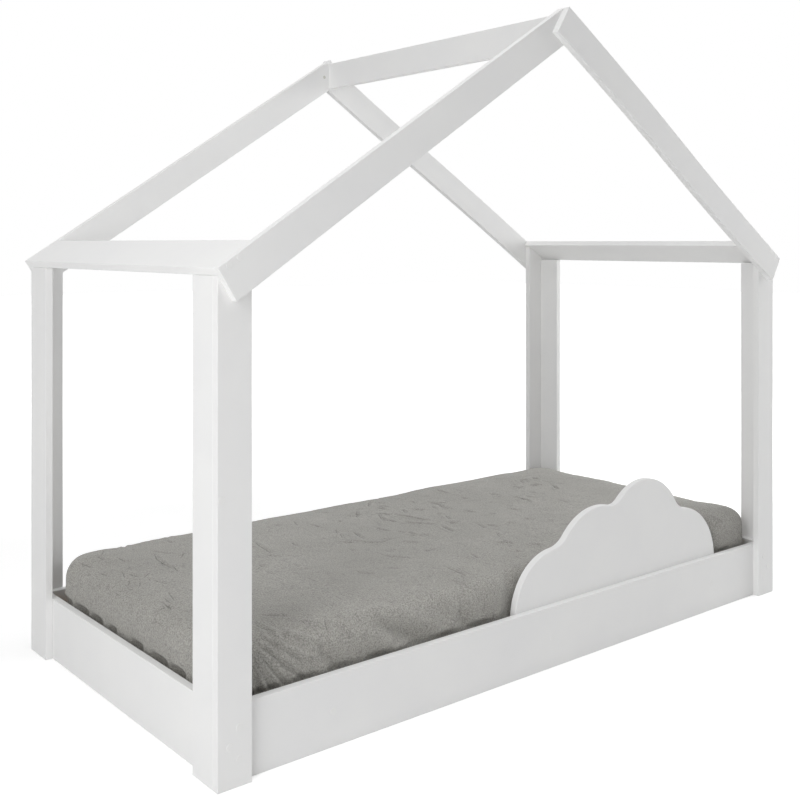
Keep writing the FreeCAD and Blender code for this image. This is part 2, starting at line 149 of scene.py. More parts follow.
shader.inputs["IOR"].default_value = 1.48
shader.inputs["Specular IOR Level"].default_value = 0.22
print("paint pebble in mm:", round(1000 / PEBBLES, 1))

# %% [markdown]
# ## White plastic caps
#
# The screws that hold the boards are covered by small push-in caps, moulded in polyethylene.
# They are a touch shinier than the paint, with faint flow marks about a millimetre wide from the
# mould, and that difference is all that shows of them.

# %% White polyethylene, moulded
CAP_WHITE = "#EAEAE9"
white_cap, shader, place = start_finish("moulded_white_polyethylene")
flow = add(white_cap, "ShaderNodeTexNoise", Vector=place, Scale=900.0, Detail=1.0)
skin = add(white_cap, "ShaderNodeBump", Height=flow.outputs["Fac"], Strength=0.05, Distance=0.0002)
white_cap.node_tree.links.new(skin.outputs["Normal"], shader.inputs["Normal"])
shader.inputs["Base Color"].default_value = linear(CAP_WHITE)
shader.inputs["Roughness"].default_value = 0.36
shader.inputs["IOR"].default_value = 1.51
print("caps are as white as:", CAP_WHITE)

# %% [markdown]
# ## Pine, planed
#
# The slats and the two ledgers under them are planed pine. Its year rings show on a flat-sawn board
# as long streaks, pale spring wood and darker summer wood, about 9 mm apart, and they wander a little.
# Stretched noise makes the wandering, and a wave across the board makes the rings. The slats run
# across the bed and the ledgers along it, so the same graph is built twice, turned a quarter.

# %% Pine along the slats and along the ledgers
pine = {}
for way, turn in (("across", 0.0), ("along", math.pi / 2)):
    wood, shader, place = start_finish("planed_pine_" + way)
    turned = add(wood, "ShaderNodeMapping", Vector=place, Rotation=(0.0, 0.0, turn))
    drawn = add(
        wood, "ShaderNodeMapping", Vector=turned.outputs["Vector"], Scale=(1.0, 0.06, 1.0),
    )
    wander = add(
        wood, "ShaderNodeTexNoise", Vector=drawn.outputs["Vector"], Scale=26.0, Detail=4.0,
        Roughness=0.55,
    )
    rings = add(
        wood, "ShaderNodeTexWave", {"wave_type": "BANDS", "bands_direction": "X"},
        Vector=drawn.outputs["Vector"], Scale=36.0, Distortion=9.0, Detail=2.0, Detail_Scale=1.2,
    )
    fibre = add(
        wood, "ShaderNodeTexNoise", Vector=drawn.outputs["Vector"], Scale=900.0, Detail=2.0,
    )
    ringed = add(
        wood, "ShaderNodeMath", {"operation": "MULTIPLY_ADD"},
        [rings.outputs["Fac"], 0.45, wander.outputs["Fac"]],
    )
    tone = add(wood, "ShaderNodeValToRGB", Fac=ringed.outputs["Value"])
    tone.color_ramp.elements[0].position = 0.35
    tone.color_ramp.elements[0].color = linear("#E3C79A")
    tone.color_ramp.elements[1].position = 0.95
    tone.color_ramp.elements[1].color = linear("#C6975C")
    skin = add(
        wood, "ShaderNodeBump", Height=fibre.outputs["Fac"], Strength=0.25, Distance=0.0004,
    )
    wood.node_tree.links.new(tone.outputs["Color"], shader.inputs["Base Color"])
    wood.node_tree.links.new(skin.outputs["Normal"], shader.inputs["Normal"])
    shader.inputs["Roughness"].default_value = 0.62
    pine[way] = wood
print("pine finishes:", sorted(pine))

# %% [markdown]
# ## Zinc-plated screws and beech dowels
#
# The screws are steel with a bright zinc coat, which shows a faint spangle. The dowels are beech, hard
# and close-grained, with short darker flecks. Both are small, so each gets one pattern and no more.

# %% Zinc and beech
zinc, shader, place = start_finish("bright_zinc_plate")
spangle = add(zinc, "ShaderNodeTexVoronoi", Vector=place, Scale=1400.0)
dull = add(
    zinc, "ShaderNodeMapRange", Value=spangle.outputs["Distance"],
    From_Min=0.0, From_Max=0.8, To_Min=0.28, To_Max=0.42,
)
zinc.node_tree.links.new(dull.outputs["Result"], shader.inputs["Roughness"])
shader.inputs["Base Color"].default_value = linear("#CFCFC8")
shader.inputs["Metallic"].default_value = 1.0

FLECKS = 700.0
beech, shader, place = start_finish("turned_beech")
drawn = add(beech, "ShaderNodeMapping", Vector=place, Scale=(1.0, 1.0, 0.25))
flecks = add(beech, "ShaderNodeTexNoise", Vector=drawn.outputs["Vector"], Scale=FLECKS, Detail=3.0)
tone = add(beech, "ShaderNodeValToRGB", Fac=flecks.outputs["Fac"])
tone.color_ramp.elements[0].position = 0.40
tone.color_ramp.elements[0].color = linear("#B98A5E")
tone.color_ramp.elements[1].position = 0.62
tone.color_ramp.elements[1].color = linear("#DDB98C")
beech.node_tree.links.new(tone.outputs["Color"], shader.inputs["Base Color"])
shader.inputs["Roughness"].default_value = 0.55
print("width of a beech fleck in mm:", round(1000 / FLECKS, 1))

# %% [markdown]
# ## The finishes go onto the bed
#
# The record names a slot for every part, such as white_board or pine, and the part's own material
# carries that name. So each part takes its finish from its slot, and only the pine asks which way it
# lies.

# %% Finishes by slot
finishes = {
    "white_board": white_board,
    "white_cap": white_cap,
    "zinc_screw": zinc,
    "beech_dowel": beech,
}
given = {}
for name, node in nodes.items():
    for holder in node.material_slots:
        slot = holder.material.name.split(".")[0] if holder.material else ""
        finish = finishes.get(slot)
        if slot == "pine":
            finish = pine["along" if name.startswith("ledger") else "across"]
        if finish:
            holder.material = finish
            given[slot] = given.get(slot, 0) + 1
print("parts finished by slot:", given)

# %% [markdown]
# ## A padded slab as one sheet of points
#
# A fitted mattress cover is a bag of soft suede-like cloth: a top panel that turns over a rounded
# shoulder into the side, and under the mattress into a hem. A box with bevelled edges could stand for
# it, but its corners would pinch. Here the top is a grid whose four corner squares are bent into
# quarter discs, so its squares stay nearly square all the way round.


# %% The plan with its round corners
def corner_of(places, radii):
    """The corner radius of each place's quarter of the plan: radii[right or not][back or not]."""
    return np.array(radii)[(places[..., 0] > 0) * 1, (places[..., 1] > 0) * 1]


def plan_grid(half_x, half_y, radii, step):
    """Plan points of a rectangle with round corners.

    In a corner square u and v go from 0 to 1, and the square becomes a quarter disc by
    x = u * sqrt(1 - v * v / 2) and y = v * sqrt(1 - u * u / 2). Elsewhere the grid is left as it is.
    """
    count_x, count_y = round(2 * half_x / step), round(2 * half_y / step)
    along = np.linspace(-half_x, half_x, count_x + 1)
    across = np.linspace(-half_y, half_y, count_y + 1)
    places = np.stack(np.meshgrid(along, across, indexing="ij"), axis=-1)
    a, b = np.abs(places[..., 0]), np.abs(places[..., 1])
    radius = corner_of(places, radii)
    u = np.clip((a - half_x + radius) / radius, 0, 1)
    v = np.clip((b - half_y + radius) / radius, 0, 1)
    x = np.minimum(a, half_x - radius) + radius * u * np.sqrt(1 - v * v / 2)
    y = np.minimum(b, half_y - radius) + radius * v * np.sqrt(1 - u * u / 2)
    return np.sign(places) * np.stack([x, y], axis=-1)


def rim_of(grid):
    """The grid's outermost entries, once round: front, right, back and left."""
    return np.concatenate([grid[:-1, 0], grid[-1, :-1], grid[:0:-1, -1], grid[0, :0:-1]])


even = [[0.1, 0.1], [0.1, 0.1]]
print("the middle of a corner square goes to:", plan_grid(0.1, 0.1, even, 0.05)[3, 3].round(4))

# %% [markdown]
# ## From the plan to the slab
#
# From the grid's rim each row of points steps outwards and down along a profile, drawn once for all
# four sides. A cover goes on inwards under the mattress and stays open there, while a block of foam
# is closed by a second grid. Both come from one function, so they fit into each other.


# %% The slab
def slab(half_x, half_y, radii, profile, step, mouth=None):
    """Points and faces of a padded slab.

    The top grid lies at the profile's first height. The rim's next rows lie at
    rim + outward * offset, where outward points from the rectangle's inner corners to the rim.
    The mouth's rows go on from the last of them to a smaller outline, a share t of the way, where
    that outline is inner * narrowed + outward * radius. Without a mouth a second grid at the
    profile's last height closes the slab.
    """
    plan = plan_grid(half_x, half_y, radii, step)
    number = np.arange(plan.shape[0] * plan.shape[1]).reshape(plan.shape[:2])
    rim = rim_of(plan)
    reach = np.array([half_x, half_y])
    radius = corner_of(rim, radii)[:, None]
    inner = np.clip(rim, radius - reach, reach - radius)
    outward = (rim - inner) / np.linalg.norm(rim - inner, axis=1, keepdims=True)
    stepped = profile[1:] if mouth else profile[1:-1]
    rows = [(rim + outward * offset, height) for offset, height in stepped]
    if mouth:
        last = rim + outward * profile[-1][0]
        narrowed = (reach + profile[-1][0] - mouth["depth"] - radius) / (reach - radius)
        small = inner * narrowed + outward * radius
        rows += [(last + (small - last) * t, height) for t, height in mouth["rows"]]
    points = [np.insert(plan.reshape(-1, 2), 2, profile[0][1], axis=1)]
    points += [np.insert(row, 2, height, axis=1) for row, height in rows]
    rings = [rim_of(number)]
    rings += [number.size + len(rim) * k + np.arange(len(rim)) for k in range(len(rows))]
    top_faces = np.stack([number[:-1, :-1], number[1:, :-1], number[1:, 1:], number[:-1, 1:]], -1)
    faces = [top_faces.reshape(-1, 4)]
    if not mouth:
        below = number + number.size + len(rim) * len(rows)
        points.append(np.insert(plan.reshape(-1, 2), 2, profile[-1][1], axis=1))
        rings.append(rim_of(below))
        faces.append(top_faces.reshape(-1, 4)[:, ::-1] + below[0, 0])
    rings = np.array(rings)
    after = np.roll(rings, -1, axis=1)
    faces.append(np.stack([rings[:-1], rings[1:], after[1:], after[:-1]], -1).reshape(-1, 4))
    return np.concatenate(points), np.concatenate(faces)


small_slab = slab(0.2, 0.2, even, [(0.0, 0.10), (0.02, 0.05), (0.0, 0.0)], 0.05)
print("points and faces of a small closed slab:", [len(part) for part in small_slab])

# %% [markdown]
# ## Into a mesh and back
#
# The points are worked out as whole arrays, and Blender gets them at once. After a simulation or a
# subdivision they are read back in the same way. A smooth step is the soft edge that most of the
# cover's shapes fade with.


# %% Meshes and soft edges
def mesh_of(name, points, faces):
    """A smooth mesh object at the origin, with its place in its points."""
    mesh = bpy.data.meshes.new(name)
    mesh.from_pydata(points.tolist(), [], faces.tolist())
    mesh.polygons.foreach_set("use_smooth", np.ones(len(faces), dtype=bool))
    mesh.update()
    piece = bpy.data.objects.new(name, mesh)
    scene.collection.objects.link(piece)
    return piece


def rows_of(mesh, what="co"):
    """The points of a mesh, or their normals, as rows of x, y and z."""
    flat = np.empty(len(mesh.vertices) * 3, dtype=np.float32)
    if what == "co":
        mesh.vertices.foreach_get("co", flat)
    else:
        mesh.vertex_normals.foreach_get("vector", flat)
    return flat.reshape(-1, 3).astype(float)


def smooth_step(low, high, values):
    """0 below low and 1 above high, and between them 3tt - 2ttt, where t runs from 0 to 1."""
    t = np.clip((values - low) / (high - low), 0, 1)
    return t * t * (3 - 2 * t)


print("a smooth step a quarter of the way along:", smooth_step(0, 1, 0.25).round(3))

# %% [markdown]
# ## The cover, sewn
#
# The cover is 1.50 m by 0.70 m and 105 mm high. Seen from above its corners have radii of 55 to
# 78 mm, its shoulder one of 30 mm, and its hem turns 80 mm in under the mattress, where elastic
# holds it. The profile runs from the top's rim over the shoulder and down to the toe.

# %% The cover's outline
foot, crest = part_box("mattress_cover")
SHOULDER, TOE, HEM = 0.030, 0.012, 0.080
CORNERS = np.array([[0.075, 0.078], [0.055, 0.075]])  # left front and back, right front and back
STEP = 0.014
arc = np.linspace(0, math.pi / 2, 5)
shoulder = np.stack([SHOULDER * np.sin(arc), crest.z - SHOULDER * (1 - np.cos(arc))], axis=1)
heights = np.linspace(crest.z - SHOULDER, foot.z + TOE, 7)[1:]
wall = np.stack([np.full(len(heights), SHOULDER), heights], axis=1)
toe = np.stack(
    [SHOULDER - TOE * (1 - np.cos(arc[2::2])), foot.z + TOE * (1 - np.sin(arc[2::2]))], axis=1
)
cover_profile = np.concatenate([shoulder, wall, toe])
hem_rows = [(t, foot.z) for t in np.linspace(0, 1, 6)[1:]]
hem_rows += [(1.0, foot.z + 0.003), (0.95, foot.z + 0.004)]  # the hem's edge, rolled over
cover_points, cover_faces = slab(
    crest.x - SHOULDER, crest.y - SHOULDER, CORNERS - SHOULDER, cover_profile, STEP,
    {"depth": HEM - TOE, "rows": hem_rows},
)
print("points in the sewn cover:", len(cover_points))

# %% [markdown]
# ## Dented by the guard and crowned
#
# The front side is pressed in where the cloud-shaped guard stands, because the guard takes up its own
# thickness between the rail and the mattress. The top is crowned by a few millimetres: nearly level
# over most of it, and falling only towards the shoulders.

# %% The dent and the crown
guard_low, guard_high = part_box("cloud_guard")
GUARD_GAP = 0.0006
DENT_END, DENT_ON_TOP = 0.035, 0.12
CROWN = 0.0065


def pressed_by_guard(points):
    """The guard's dent: its thickness, faded over 35 mm past its ends and over 120 mm of the top."""
    x, y = points[:, 0], points[:, 1]
    wide = smooth_step(guard_low.x - DENT_END, guard_low.x, x)
    wide *= 1 - smooth_step(guard_high.x, guard_high.x + DENT_END, x)
    near = 1 - smooth_step(foot.y, foot.y + DENT_ON_TOP, y)
    return wide * near * (guard_high.y - foot.y + GUARD_GAP)


def crowned(points):
    """CROWN * (1 - (x / half length)^6) * (1 - (y / half width)^12), fading down the shoulder."""
    bow = (1 - (points[:, 0] / crest.x) ** 6) * (1 - (points[:, 1] / crest.y) ** 12)
    return CROWN * bow * smooth_step(crest.z - SHOULDER, crest.z, points[:, 2])


cover_points[:, 1] += pressed_by_guard(cover_points)
cover_points[:, 2] += crowned(cover_points)
print("the crown's highest point in mm:", round(1000 * (cover_points[:, 2].max() - crest.z), 1))

# %% [markdown]
# ## The cover, filled
#
# Foam presses the cloth out between the places that hold it, so a real cover is never flat. That
# swelling could be drawn by hand, but cloth simulation gives it for little work: the hem is held,
# a light pressure fills the bag for twenty frames, and no point may end up more than a few
# millimetres from where it was sewn, because the rails stand all round it.

# %% The cloth simulation
FRAMES, PRESSURE, MOST_MOVE = 20, 4.0, 0.006


def swell(points, faces, held, pressure, most):
    """Where the points lie after a few frames of cloth under pressure.

    A move d is kept as most * tanh(|d| / most) in its own direction, so it never passes most.
    """
    bag = mesh_of("bag_for_the_simulation", points, faces)
    group = bag.vertex_groups.new(name="held")
    group.add(np.flatnonzero(held).tolist(), 1.0, "REPLACE")
    cloth = bag.modifiers.new("cloth", "CLOTH")
    cloth.settings.quality = 6
    cloth.settings.mass = 0.3
    cloth.settings.tension_stiffness = 12
    cloth.settings.compression_stiffness = 12
    cloth.settings.bending_stiffness = 0.4
    cloth.settings.use_pressure = True
    cloth.settings.uniform_pressure_force = pressure
    cloth.settings.effector_weights.gravity = 0
    cloth.settings.vertex_group_mass = "held"
    cloth.settings.shrink_min = -0.012  # the cloth is 1.2% larger than the sewn shape
    cloth.collision_settings.use_collision = False
    for number in range(1, FRAMES + 1):
        scene.frame_set(number)
    settled = bag.evaluated_get(bpy.context.evaluated_depsgraph_get())
    move = rows_of(settled.data) - points
    bpy.data.objects.remove(bag)
    scene.frame_set(1)
    length = np.linalg.norm(move, axis=1, keepdims=True)
    return points + move * most * np.tanh(length / most) / np.maximum(length, 1e-9)


under = cover_points[:, 2] < foot.z + TOE
filled = swell(cover_points, cover_faces, under, PRESSURE, MOST_MOVE)
farthest = np.abs(filled - cover_points).max()
print("most that the filling moved a point, in mm:", round(1000 * farthest, 1))

# %% [markdown]
# ## The cover, creased
#
# Suede-like cloth keeps short, sharp creases where a child has knelt on it. They are narrower than
# the simulation's cells, so the cover is first subdivided twice, and each crease is then pressed
# into it along a line: a groove with a low ridge on each side, which fades out at the line's ends.
# The dark line of shade that the eye sees in a crease is thinner than even these cells, so every point
# is also told how near the line is and how far to one side, and the finish paints that shade into
# the colour as a dark line.

# %% Creases along lines
MARGIN = 0.03  # a crease moves nothing further than this from its line's own box
RIDGE, KEPT_AT_ENDS = 0.45, 0.25  # shares of the groove's depth
MARK_REACH = 0.006


def subdivided(piece, levels):
    """The piece's mesh after that many rounds of Catmull and Clark's subdivision."""
    rounds = piece.modifiers.new("rounds", "SUBSURF")
    rounds.levels = rounds.render_levels = levels
    finer = bpy.data.meshes.new_from_object(
        piece.evaluated_get(bpy.context.evaluated_depsgraph_get())
    )
    piece.modifiers.clear()
    piece.data = finer
    return piece


def crease(points, outwards, line, width, depth):
    """How far a crease moves each point outwards, how near it is, 0 to 1, and how far to one side.

    The line's points, the width and the depth are in millimetres. With d the distance to the line
    over the width, the move is -depth * exp(-d * d) for the groove and
    depth * RIDGE * exp(-(d - 2) * (d - 2)) for its ridges. Over the line's first and last thirds
    both fade to a quarter. The nearness is exp(-(distance / 6 mm)^2), and there it fades to nothing.
    The side is the distance across the line, along the surface, with a sign.
    """
    line = np.array(line) / 1000
    changes = np.zeros((3, len(points)))
    lengths = np.linalg.norm(np.diff(line, axis=0), axis=1)
    total, before = lengths.sum(), 0.0
    low, high = line.min(axis=0) - MARGIN, line.max(axis=0) + MARGIN
    close = np.flatnonzero(np.all((points > low) & (points < high), axis=1))
    spot = points[close]
    nearest, where, across = np.full(len(close), 9.0), np.zeros(len(close)), np.zeros(len(close))
    for start, end, length in zip(line[:-1], line[1:], lengths):
        t = np.clip((spot - start) @ (end - start) / length**2, 0, 1)
        apart = spot - start - t[:, None] * (end - start)
        away = np.linalg.norm(apart, axis=1)
        sideways = np.cross(end - start, outwards[close]) / length
        across = np.where(away < nearest, (apart * sideways).sum(axis=1), across)
        where = np.where(away < nearest, before + t * length, where)
        nearest = np.minimum(nearest, away)
        before += length
    d = nearest / (width / 1000)
    shape = RIDGE * np.exp(-((d - 2) ** 2)) - np.exp(-(d**2))
    ends = smooth_step(0, 0.33 * total, where) * (1 - smooth_step(0.67 * total, total, where))
    changes[0, close] = shape * (KEPT_AT_ENDS + (1 - KEPT_AT_ENDS) * ends) * depth / 1000
    changes[1, close] = np.exp(-((nearest / MARK_REACH) ** 2)) * ends
    changes[2, close] = across
    return changes


cover = subdivided(mesh_of("mattress_cover_fabric", filled, cover_faces), 2)
print("points in the subdivided cover:", len(cover.data.vertices))

# %% [markdown]
# ## Where the creases lie
#
# Each line below is one crease, in millimetres, with its width and depth. A point on the top has two
# numbers, and takes its height from the cloth, and a point on a side has three. The creases lie in no
# pattern, most of them near the middle, where the cover is knelt on, and at the left end. The wide
# ones at the end of the list are soft folds in the front side, and a depth below 0 makes a ridge.

# %% Creases placed one by one
TOP_CREASES = [
    ([(0, 135), (15, 80), (25, 30)], 4.5, 2.6),
    ([(260, 275), (245, 205)], 3.5, 1.6),
    ([(155, 160), (175, 130)], 3.5, 1.6),
    ([(20, -10), (5, -75)], 4.0, 2.0),
    ([(-55, 115), (-45, 75)], 3.5, 1.6),
    ([(-165, -20), (-140, -35)], 3.5, 1.6),
    ([(150, -85), (170, -105)], 3.5, 1.8),
    ([(15, -180), (55, -220)], 4.0, 2.0),
    ([(45, -180), (40, -210)], 3.5, 1.6),
    ([(75, -230), (95, -255)], 4.0, 2.0),
    ([(-80, -210), (-85, -245)], 3.5, 1.6),
    ([(305, 95), (340, 105)], 3.5, 1.4),
    ([(245, -130), (255, -145)], 3.5, 1.4),
    ([(540, 125), (500, 60)], 4.0, 1.6),
    ([(-385, 140), (-405, 30)], 4.0, 1.8),
    ([(-230, 30), (-185, -40), (-145, -35)], 4.0, 2.0),
    ([(-45, 135), (-40, 60)], 3.5, 1.8),
    ([(-200, 75), (-220, 40)], 3.5, 1.4),
    ([(-190, 105), (-205, 80)], 3.5, 1.4),
    ([(50, 290), (10, 240)], 3.5, 1.6),
    ([(-35, 230), (-90, 155)], 4.0, 1.8),
    ([(-260, -30), (-260, -60)], 3.5, 1.4),
    ([(-585, 215), (-605, 155), (-610, 85), (-610, 55)], 4.0, 1.8),
    ([(-690, 125), (-680, 75)], 3.5, 1.6),
    ([(-670, 50), (-660, -5)], 3.5, 1.6),
    ([(-705, 35), (-690, 60)], 3.5, 1.4),
    ([(-685, 250), (-655, 295)], 3.5, 1.4),
    ([(-680, -30), (-695, -90)], 3.5, 1.4),
    ([(-625, -250), (-575, -285)], 3.5, 1.4),
    ([(-530, -315), (-540, -340)], 3.5, 1.8),
]
SIDE_CREASES = [
    ([(-745, -150, 188), (-749, -172, 182), (-749, -195, 178)], 4.0, 2.0),
    ([(-749, 139, 178), (-749, 137, 128)], 4.5, 2.2),
    ([(-749, 131, 156), (-749, 95, 142), (-749, 52, 124)], 4.0, 2.0),
    (
        [(-636, -262, 198), (-630, -310, 198), (-634, -338, 190), (-626, -349, 168), (-600, -349, 128)],
        5.5, -3.4,
    ),
    ([(-621, -349, 154), (-599, -349, 123)], 4.0, 2.4),
    ([(-470, -345, 192), (-430, -349, 180), (-370, -349, 150), (-310, -349, 120)], 14.0, 12.0),
    ([(-560, -349, 180), (-545, -349, 150), (-515, -349, 120)], 12.0, 7.0),
    ([(-240, -349, 170), (-210, -349, 120)], 13.0, 6.0),
    ([(-300, -345, 190), (-270, -349, 160), (-240, -349, 135)], 12.0, 3.5),
]
print("creases by hand on the top and the sides:", len(TOP_CREASES), len(SIDE_CREASES))

# %% [markdown]
# ## Creases left to chance
#
# A cover in use has more small creases than anyone would place by hand, so the rest are scattered:
# three groups lie where the cover is knelt and sat on, and one is spread over the whole top. Each
# group has its own seed, so that it comes out the same every time.

# %% Creases scattered by chance
FRONT_LEFT, BACK_RIGHT = (-715, -300), (715, 315)  # no crease starts outside these corners
SHORTEST, SCATTER_DEPTH = 12, 1.5
ANGLE_SPREAD = 0.42


def scattered(seed, count, middle, spread, turn, longest):
    """Short straight creases, from starts round a middle, in millimetres.

    Each runs along (sin angle, cos angle), where the angles lie round the turn, in radians.
    """
    chance = np.random.default_rng(seed)
    starts = np.clip(chance.normal(middle, spread, (count, 2)), FRONT_LEFT, BACK_RIGHT)
    angles = chance.normal(turn, ANGLE_SPREAD, count)
    lengths = chance.uniform(SHORTEST, longest, count)
    ends = starts + lengths[:, None] * np.stack([np.sin(angles), np.cos(angles)], axis=1)
    widths = chance.uniform(3.0, 4.0, count)
    pairs = zip(starts.tolist(), ends.tolist(), widths)
    return [([tuple(start), tuple(end)], width, SCATTER_DEPTH) for start, end, width in pairs]


by_chance = scattered(3, 34, (-20, 40), (190, 120), -0.2, 75)
by_chance += scattered(8, 30, (-600, 90), (90, 150), 0.1, 55)
by_chance += scattered(6, 16, (490, 110), (60, 45), -0.5, 45)
by_chance += scattered(2, 34, (0, 0), (420, 190), -0.2, 60)
print("creases by chance:", len(by_chance))

# %% [markdown]
# ## All creases pressed in
#
# Creases of the top are measured in plan, because the crown and the filling have lifted the cloth
# off any fixed height, and they fade where the cloth turns down. Wide folds and ridges get no painted
# shade line: only a sharp groove does.

# %% Pressing the creases in
# Creases narrower than this get a dark line of painted shade in the cloth's colour.
WIDEST_MARKED = 8  # in millimetres, as the widths are
NO_LINE = 0.02  # in metres, further to the side than any line is drawn
sewn = rows_of(cover.data)
sewn[:, :2] = np.clip(sewn[:, :2], (foot.x, foot.y), (crest.x, crest.y))
outwards = rows_of(cover.data, "normal")
lying = smooth_step(0.4, 0.7, outwards[:, 2])
plan = sewn * (1, 1, 0)
upwards = np.broadcast_to((0.0, 0.0, 1.0), sewn.shape)
pressed, nearness = np.zeros((2, len(sewn)))
side_of_line = np.full(len(sewn), NO_LINE)
for line, width, depth in TOP_CREASES + by_chance + SIDE_CREASES:
    if len(line[0]) == 2:
        level = [(x, y, 0) for x, y in line]
        moved, near, side = crease(plan, upwards, level, width, depth) * lying
    else:
        moved, near, side = crease(sewn, outwards, line, width, depth)
        near *= (width < WIDEST_MARKED) * (depth > 0)
    pressed += moved
    side_of_line = np.where(near > nearness, side, side_of_line)
    nearness = np.maximum(nearness, near)
print("deepest crease in mm:", round(-1000 * pressed.min(), 1))

# %% [markdown]
# ## Scallops
#
# Elastic under the mattress draws the side in. Between two gathers it leaves the rail by about a
# finger's breadth, so a row of dark pockets shows behind the rail, one every 60 to 100 mm. At the
# left end, where they show best, they are listed one by one, and elsewhere they are spaced by chance.

# %% Scallops along the rails
LEFT_POCKETS = [
    (-306, -225), (-216, -154), (-151, -83), (-58, -5), (48, 84), (109, 167), (174, 245), (252, 331),
]
LEFT_DEPTH, FAR_DEPTH, FRONT_DEPTH, FRONT_SLACK = 0.0135, 0.010, 0.0045, 0.0005
POCKET_FULL, POCKET_GONE = 0.118, 0.131  # heights above the floor, where the rail's top is at 0.12
POCKET_REACH = 0.052
LEAN, LEAN_FULL, LEAN_GONE, LEAN_END = 0.002, 0.115, 0.172, 0.05


def pockets(along, edges, depth):
    """Depth times the power 0.7 of a half sine between each pair of edges, and 0 elsewhere."""
    low, high = np.array(edges).T[:, None, :] / 1000
    t = np.clip((along[:, None] - low) / (high - low), 0, 1)
    return depth * (np.sin(np.pi * t) ** 0.7).max(axis=1)


def spaced(start, stop, seed):
    """Pairs of edges from start to stop, each pocket 52 to 74 mm wide and 5 to 20 mm from the next."""
    chance = np.random.default_rng(seed)
    widths = chance.uniform(52, 74, 40)
    gaps = chance.uniform(5, 20, 40)
    lows = start + np.concatenate([[0], np.cumsum(widths + gaps)[:-1]])
    inside = lows + widths < stop
    return np.stack([lows, lows + widths], axis=1)[inside]


def gathered(points):
    """The sideways move of each point.

    The pockets are full just below the rail's top and gone 11 mm above it. The front side leans back
    a little besides, from its shoulder down, as far as the guard.
    """
    x, y, z = points.T
    low = 1 - smooth_step(POCKET_FULL, POCKET_GONE, z)
    at_left = 1 - smooth_step(foot.x, foot.x + POCKET_REACH, x)
    at_right = smooth_step(crest.x - POCKET_REACH, crest.x, x)
    at_back = smooth_step(crest.y - POCKET_REACH, crest.y, y)
    at_front = 1 - smooth_step(foot.y, foot.y + POCKET_REACH, y)
    front = FRONT_SLACK + pockets(x, spaced(-700, -110, 9), FRONT_DEPTH)
    front += pockets(x, spaced(600, 725, 2), FRONT_DEPTH)
    move = np.zeros((len(points), 3))
    move[:, 0] += pockets(y, LEFT_POCKETS, LEFT_DEPTH) * at_left
    move[:, 0] -= pockets(y, spaced(-325, 330, 4), FAR_DEPTH) * at_right
    move[:, 1] -= pockets(x, spaced(-720, 725, 7), FAR_DEPTH) * at_back
    move[:, 1] += front * at_front
    move *= low[:, None]
    leaning = LEAN * (1 - smooth_step(LEAN_FULL, LEAN_GONE, z)) * at_front
    move[:, 1] += leaning * (1 - smooth_step(guard_low.x - LEAN_END, guard_low.x, x))
    return move


gathering = gathered(sewn)
print("deepest pocket in mm:", round(1000 * np.abs(gathering).max(), 1))

# %% [markdown]
# ## Waves, pleats and the frilled hem
#
# Soft waves lie over the whole cover, long ones of 90 to 300 mm from crest to crest and short ones
# of 30 to 70 mm. Beside the left post the cloth is pulled towards the corner, and fine pleats fan
# out from there. The hem's edge is frilled by its elastic, one small wave every 21 mm.

# %% Waves, pleats and frill
FAN_X, FAN_Z, PLEAT = -0.735, 0.245, 0.0022
FRILL, FRILL_SPACING, FRILL_REACH = 0.0011, 0.021, 0.05


def waves(points, seed, count, shortest, longest, height):
    """Height times the mean of that many sines, each with a direction and a length of its own."""
    chance = np.random.default_rng(seed)
    ways = chance.normal(size=(3, count))
    ways /= np.linalg.norm(ways, axis=0) * chance.uniform(shortest, longest, count)
    return height * np.sin(2 * np.pi * (points @ ways + chance.random(count))).mean(axis=1)


def fan(points):
    """Pleats round a place above the front-left corner: sin(46 * angle) + sin(83 * angle + 1) / 2.

    They are full from 110 to 150 mm away from that place, and gone nearer than 70 mm to it, further
    than 240 mm from it, and 50 mm behind the front.
    """
    x, y, z = points.T
    angle = np.arctan2(z - FAN_Z, x - FAN_X)
    reach = np.hypot(z - FAN_Z, x - FAN_X)
    near = smooth_step(0.07, 0.11, reach) * (1 - smooth_step(0.15, 0.24, reach))
    near *= 1 - smooth_step(foot.y + 0.01, foot.y + 0.05, y)
    return PLEAT * near * (np.sin(46 * angle) + 0.5 * np.sin(83 * angle + 1.0))


def frilled(points):
    """The hem's rise, a wave along x + y, full at the hem's edge and gone 50 mm outside it."""
    folded = (points[:, 2] < foot.z + 0.005) * 1.0
    inwards = np.maximum(np.abs(points[:, 0]) - crest.x, np.abs(points[:, 1]) - crest.y) + HEM
    frill = FRILL * (1 + np.sin(2 * np.pi * (points[:, 0] + points[:, 1]) / FRILL_SPACING))
    return folded * frill * (1 - smooth_step(0.0, FRILL_REACH, inwards))


waving = waves(sewn, 11, 7, 0.09, 0.30, 0.0020)
waving += waves(sewn, 5, 9, 0.03, 0.07, 0.0008)
waving += fan(sewn)
shaped = sewn + outwards * (pressed + waving)[:, None] + gathering
shaped[:, 2] += frilled(sewn)
print("highest wave or pleat in mm:", round(1000 * waving.max(), 1))

# %% [markdown]
# ## The finished cover goes into its place
#
# The rails and the guard stop the cloth, so no point may pass them. The shaped points then go back
# into the mesh, with the two values that the finish reads, and the cover takes the drawn one's place.

